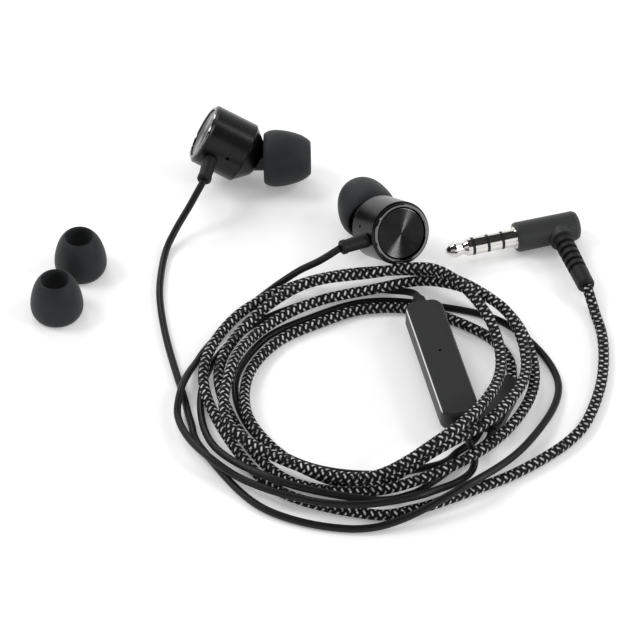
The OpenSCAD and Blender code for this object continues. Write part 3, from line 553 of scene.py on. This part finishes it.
def finish(name, paint, **constants):
    """A material: paint gives what varies over it, the constants go on the shader's sockets."""
    material = bpy.data.materials.new(name)
    material.use_nodes = True
    tree = material.node_tree
    shader = tree.nodes["Principled BSDF"]
    for socket, value in constants.items():
        shader.inputs[socket.replace("_", " ")].default_value = value
    for socket, value in paint(Shade(tree)).items():
        tree.links.new(value.socket, shader.inputs[socket])
    print("finish", name, "with", len(tree.nodes), "nodes")
    return material


def dress(piece, material):
    piece.data.materials.clear()
    piece.data.materials.append(material)


# %% [markdown]
# ## Cable finishes
# The braid's yarns are dark polyester. Where a yarn lies on top, a short pale stroke is painted
# into its colour as a painted highlight, for the glint of light on the yarn's back; the pits
# between stay black. A picture of a weave would have to be stretched round every bend. The formula
# that raised the yarns also knows where they are, so it paints the strokes, and noise dims some of
# them unevenly. Fine fibres run along each yarn. The smooth cables have a satin jacket that is a
# little uneven.

# %% Braid and jacket
FIBRES = 5  # fibres across a yarn
BESIDE = (0.02, 0.23)  # where a stroke begins and ends to fade beside the yarn's middle
ON_TOP = (0.1, 0.75)  # how far a yarn is lifted where its stroke begins, and is fully seen


def braid_paint(s):
    uv = s.node("TexCoord", out="UV")
    u = s.node("SeparateXYZ", {}, {0: uv}, 0)
    v = s.node("SeparateXYZ", {}, {0: uv}, 1)
    a, b = (v - u * (1 / LEAD)) * YARNS, (v + u * (1 / LEAD)) * YARNS
    i, j = s.maths("ROUND", a), s.maths("ROUND", b)
    off_a, off_b = s.maths("ABSOLUTE", a - i), s.maths("ABSOLUTE", b - j)
    over_a = s.maths("COSINE", (b + i) * math.pi)
    over_b = s.maths("COSINE", (a + j) * math.pi) * -1
    stroke = s.maths("MAXIMUM", *((1 - off.between(*BESIDE)) * over.between(*ON_TOP)
                                  for off, over in ((off_a, over_a), (off_b, over_b))))
    fibre = s.maths("SINE", (off_a - off_b) * (2 * math.pi * FIBRES)) * 0.5 + 0.5
    speckle, patch = s.noise(1500), s.noise(280, 2)
    glint_dimming = speckle.between(0.32, 0.56) * (0.7 + 0.3 * patch.between(0.28, 0.52))
    # Painted highlight: the pale strokes in the colour stand for glints of light on the yarns'
    # backs, and noise dims some of them.
    light = stroke * glint_dimming * (0.6 + 0.4 * fibre)
    colour = light.blend((0.006, 0.006, 0.0065), (0.95, 0.95, 0.97))
    return {"Base Color": colour, "Roughness": 0.6 - 0.2 * stroke,
            "Normal": s.bump(fibre * 0.5 + speckle, 0.3, 0.00004)}


def jacket_paint(s):
    cloud = s.noise(700)
    return {"Base Color": cloud.blend((0.007, 0.007, 0.0075), (0.013, 0.013, 0.0138)),
            "Roughness": 0.3 + 0.14 * s.noise(2500),
            "Normal": s.bump(s.noise(1800, 2), 0.12, 0.00003)}


braid = finish("woven yarn", braid_paint, Specular_IOR_Level=0.12)
jacket = finish("satin jacket", jacket_paint, Specular_IOR_Level=0.2)
dress(braided_cable, braid)
for piece in smooth_cables.values():
    dress(piece, jacket)

# %% [markdown]
# ## Silicone
# Silicone tips are dark grey and matt, with a soft bloom at grazing angles, and dust shows on
# them as faint lighter spots. Plain low roughness would look like hard plastic, so the shine is
# kept weak and a little sheen gives the bloom.

# %% Silicone
def silicone_paint(s):
    dust = s.noise(6000, 2).between(0.62, 0.78)
    cloud = s.noise(260)
    tint = (cloud * 0.6 + dust * 0.25).blend((0.015, 0.0163, 0.0175), (0.036, 0.038, 0.040))
    return {"Base Color": tint, "Roughness": 0.46 + 0.16 * cloud,
            "Normal": s.bump(s.noise(3000), 0.1, 0.00003)}


silicone = finish("silicone", silicone_paint, Specular_IOR_Level=0.16, Sheen_Weight=0.05,
                  Sheen_Roughness=0.5)
for piece in ear_tips.values():
    dress(piece, silicone)

# %% [markdown]
# ## Metals
# The barrels are turned aluminium, anodised black: fine lathe lines run round the axis, and the
# colour is nearly black with a metal's sharp shine. The ring is polished, the disc is spun. Black
# paint would do for the colour, but only full metal with a dark colour dims its reflections as
# anodising does. The lathe lines are noise that changes along the barrel's axis alone.

# %% Turned and polished metal
LINES = 26  # lathe lines per millimetre, roughly


def turned_paint(axis, dark, light, rough):
    def paint(s):
        line = s.noise(1, 2, where=s.node("CombineXYZ", {}, {0: s.along(axis) * LINES}))
        cloud = s.noise(300)
        return {"Base Color": (line * 0.5 + cloud * 0.5).blend(dark, light),
                "Roughness": rough + 0.1 * line + 0.06 * cloud,
                "Normal": s.bump(line, 0.06, 0.00003)}
    return paint


def polished_paint(dark, light, rough):
    def paint(s):
        cloud, fine = s.noise(350), s.noise(5000, 2)
        return {"Base Color": cloud.blend(dark, light), "Roughness": rough + 0.1 * fine}
    return paint


def spun_paint(s):
    cloud = s.noise(500)
    return {"Base Color": cloud.blend((0.012, 0.012, 0.0123), (0.026, 0.026, 0.0264)),
            "Roughness": 0.1 + 0.08 * s.noise(4000, 2)}


barrels = {side: finish(side + " anodised barrel",
                        turned_paint(axis, (0.014, 0.0143, 0.015), (0.038, 0.0385, 0.0395), 0.2),
                        Metallic=1.0)
           for side, axis in ear_axis.items()}
bright_ring = finish("bright ring", polished_paint((0.14, 0.14, 0.141), (0.21, 0.21, 0.212), 0.05),
                     Metallic=1.0)
spun = finish("spun disc", spun_paint, Metallic=1.0)
contact = finish("nickel contact", polished_paint((0.7, 0.69, 0.665), (0.8, 0.79, 0.76), 0.05),
                 Metallic=1.0)
steel = finish("plain steel", polished_paint((0.4, 0.4, 0.4), (0.55, 0.55, 0.54), 0.26),
               Metallic=1.0)
copper = finish("enamelled copper", polished_paint((0.5, 0.2, 0.08), (0.62, 0.28, 0.12), 0.25),
                Metallic=1.0)
for side, disc in back_discs.items():
    dress(disc, spun)

# %% [markdown]
# ## Plastics and rubber
# Plug, remote and splitter are moulded in dark plastic with a fine spark-eroded grain. The boots
# are rubber, duller still. Small inner pieces get the look of their own kind. One function makes
# all of these, since they differ in colour, roughness and grain and in nothing else.

# %% Moulded finishes
def moulded_paint(dark, light, rough, grain):
    def paint(s):
        cloud, fine = s.noise(200), s.noise(grain, 2)
        return {"Base Color": (cloud * 0.7 + fine * 0.3).blend(dark, light),
                "Roughness": rough + 0.14 * fine,
                "Normal": s.bump(fine, 0.16, 0.00003)}
    return paint


shell = finish("moulded shell", moulded_paint((0.029, 0.0297, 0.031), (0.041, 0.0418, 0.043),
                                              0.36, 5000), Specular_IOR_Level=0.25)

# %% [markdown]
# ## The remote's cut edges
# The long edges of the remote's top are cut with a diamond tool, which leaves two bright lines.
# They could be strips of their own, but strips would float or flicker on the cover. So the finish
# itself turns to metal where a point lies far enough across and high enough.

# %% Cover with cut edges
REMOTE_MIDDLE = 1000 * LAYOUT + Vector(REMOTE_AT)
REMOTE_SIDE = REMOTE_TURN.to_3x3() @ Vector((0, 1, 0))
REMOTE_UP = REMOTE_TURN.to_3x3() @ Vector((0, 0, 1))
CUT_ACROSS, CUT_HEIGHT = (3.34, 3.4), (1.76, 1.8)  # where the cut begins and is complete, mm


def edged_paint(s):
    """The cover's finish, and a thin bright band on each side of its top."""
    paint = moulded_paint((0.021, 0.0215, 0.0225), (0.031, 0.0315, 0.0325), 0.36, 5000)(s)
    across = s.maths("ABSOLUTE", s.along(REMOTE_SIDE) - REMOTE_SIDE.dot(REMOTE_MIDDLE))
    height = s.along(REMOTE_UP) - REMOTE_UP.dot(REMOTE_MIDDLE)
    edge = across.between(*CUT_ACROSS) * height.between(*CUT_HEIGHT)
    paint["Base Color"] = s.node("Mix", {"data_type": "RGBA"},
                                 {0: edge, 6: paint["Base Color"], 7: (0.75, 0.75, 0.76, 1)}, 2)
    paint["Metallic"] = edge
    paint["Roughness"] = paint["Roughness"] - 0.2 * edge
    return paint


edged_shell = finish("shell with cut edges", edged_paint, Specular_IOR_Level=0.25)

# %% Buttons, rubber and inner pieces
key = finish("button", moulded_paint((0.012, 0.012, 0.013), (0.022, 0.022, 0.023), 0.42, 4000),
             Specular_IOR_Level=0.25)
rubber = finish("boot rubber", moulded_paint((0.012, 0.012, 0.0125), (0.02, 0.02, 0.0205),
                                             0.42, 3500), Specular_IOR_Level=0.18)
black = finish("black plastic", moulded_paint((0.008, 0.008, 0.009), (0.014, 0.014, 0.015),
                                              0.35, 3000), Specular_IOR_Level=0.35)
film = finish("film", moulded_paint((0.5, 0.47, 0.4), (0.62, 0.6, 0.52), 0.25, 2500))
board = finish("board", moulded_paint((0.01, 0.07, 0.03), (0.02, 0.12, 0.05), 0.35, 3000))

# %% [markdown]
# ## Who wears what
# Every solid gets its finish from a word in its name, also those that a new skin stands for. A
# list of all 59 names would be longer and easier to get wrong. The first word that fits counts.

# %% Finishes by name
BY_NAME = [
    ("bezel_ring", bright_ring), ("nozzle_mesh", steel), ("driver_frame", black),
    ("driver_yoke", steel), ("driver_magnet", steel), ("top_plate", steel),
    ("voice_coil", copper), ("diaphragm", film), ("board", board), ("strain_relief", rubber),
    ("remote_cover", edged_shell), ("button_shell", shell), ("button_plus", key),
    ("button_centre", key), ("button_minus", key), ("switch_", steel), ("microphone", steel),
    ("remote_boot", rubber), ("plug_tip", contact), ("plug_ring", contact),
    ("plug_sleeve", contact), ("plug_insulator", black), ("plug_moulding", shell),
    ("splitter_", shell), ("cord", jacket), ("tip", silicone), ("back_disc", spun)]
for name, solid in solids.items():
    if name.endswith(("_housing", "_front_cover")):
        dress(solid, barrels[name.split("_")[0]])
    else:
        dress(solid, next(m for word, m in BY_NAME if word in name))
print(len(solids), "solids dressed")

# %% [markdown]
# ## The table
# A pale seamless table. It could be made white by more light, but that would wash out the black
# pieces too. So its paleness is in its colour, and a touch of glow, which only the camera and
# reflections see, makes it white.

# %% Table
TABLE_GLOW = 0.2
TABLE_HALF, TABLE_TOP = 2.5, -5e-5  # half its width, and just below what stands on it, metres


def seen_by(s, kind, *others):
    """1 for rays of these kinds, else 0."""
    seen = s.node("LightPath", out="Is " + kind + " Ray")
    for other in others:
        seen = s.maths("MAXIMUM", seen, s.node("LightPath", out="Is " + other + " Ray"))
    return seen


def table_material():
    material = bpy.data.materials.new("pale table")
    material.use_nodes = True
    tree = material.node_tree
    tree.nodes.clear()
    s = Shade(tree)
    speck = s.noise(40)
    colour = speck.blend((0.9, 0.9, 0.9), (0.93, 0.93, 0.93))
    body = s.node("BsdfDiffuse", {}, {"Color": colour})
    glow = s.node("Emission", {}, {"Strength": TABLE_GLOW})
    both = s.node("AddShader", {}, {0: body, 1: glow})
    mixed = s.node("MixShader", {}, {0: seen_by(s, "Camera", "Glossy"), 1: body, 2: both})
    output = tree.nodes.new("ShaderNodeOutputMaterial")
    tree.links.new(mixed.socket, output.inputs[0])
    return material


def sheet(name, x, y, z, material):
    """A flat sheet of the stage, from the two values of x to the two of y."""
    mesh = bpy.data.meshes.new(name)
    corners = [(x[0], y[0], z), (x[1], y[0], z), (x[1], y[1], z), (x[0], y[1], z)]
    mesh.from_pydata(corners, [], [(0, 1, 2, 3)])
    piece = put(name, mesh)
    dress(piece, material)
    return piece


sheet("table", (-TABLE_HALF, TABLE_HALF), (-TABLE_HALF, TABLE_HALF), TABLE_TOP, table_material())
print("table", 2 * TABLE_HALF, "m wide")

# %% [markdown]
# ## Room and lamps
# A studio for small products has white walls and a few soft boxes. One white world would light
# everything evenly and leave no shadow, so it lights weakly, and only the camera and reflections
# see it white. Two big soft lamps stand left and back, a weaker one on the right, and a low one
# in front on the right, which makes the spun discs' wedges flash.

# %% Room
ROOM_LIGHT, ROOM_WHITE = 0.56, 1.0
world = bpy.data.worlds.new("room")
bpy.context.scene.world = world
world.use_nodes = True
room = world.node_tree
room.nodes.clear()
s = Shade(room)
lit = s.node("Background", {}, {"Color": (1, 1, 1, 1), "Strength": ROOM_LIGHT})
white = s.node("Background", {}, {"Color": (1, 1, 1, 1), "Strength": ROOM_WHITE})
seen = seen_by(s, "Camera", "Glossy", "Transmission")
mixed = s.node("MixShader", {}, {0: seen, 1: lit, 2: white})
room.links.new(mixed.socket, room.nodes.new("ShaderNodeOutputWorld").inputs[0])
bpy.context.scene.view_settings.view_transform = "Standard"
print("room lights with", ROOM_LIGHT, "and looks", ROOM_WHITE)

# %% Lamps
def softbox(name, spot, size, watts):
    """A rectangular lamp at a spot in metres from the layout's origin, which it looks at."""
    data = bpy.data.lights.new(name, "AREA")
    data.shape = "RECTANGLE"
    data.size, data.size_y = size
    data.energy = watts
    lamp = put(name, data)
    lamp.location = LAYOUT + Vector(spot)
    lamp.rotation_euler = (-Vector(spot)).to_track_quat("-Z", "Y").to_euler()
    print(name, watts, "W")


softbox("left", (-0.42, 0.1, 0.48), (0.22, 0.2), 1.1)
softbox("back", (-0.18, 0.44, 0.4), (0.26, 0.16), 0.75)
softbox("side", (0.47, 0.1, 0.48), (0.16, 0.12), 0.5)
softbox("front", (0.59, -0.21, 0.27), (0.13, 0.1), 1.1)

# %% [markdown]
# ## A dark card
# All round the object the room is white, which leaves polished metal flat. A studio holds a black
# card near such pieces. A darker room would do it too, but would grey the table. So a dark card
# hangs over the table, which only mirror-like reflections see: it draws the dark bands that tell
# metal from paint.

# %% Card overhead
CARD_X, CARD_Y, CARD_Z = (-0.8, 0.55), (-0.8, 1.0), 0.62  # metres
card_material = finish("dark card", moulded_paint((0.02, 0.02, 0.02), (0.03, 0.03, 0.03), 0.8, 100))
card = sheet("card", CARD_X, CARD_Y, CARD_Z, card_material)
for ray in ("camera", "diffuse", "transmission", "shadow"):
    setattr(card, "visible_" + ray, False)
print("card", CARD_Z, "m above the table")
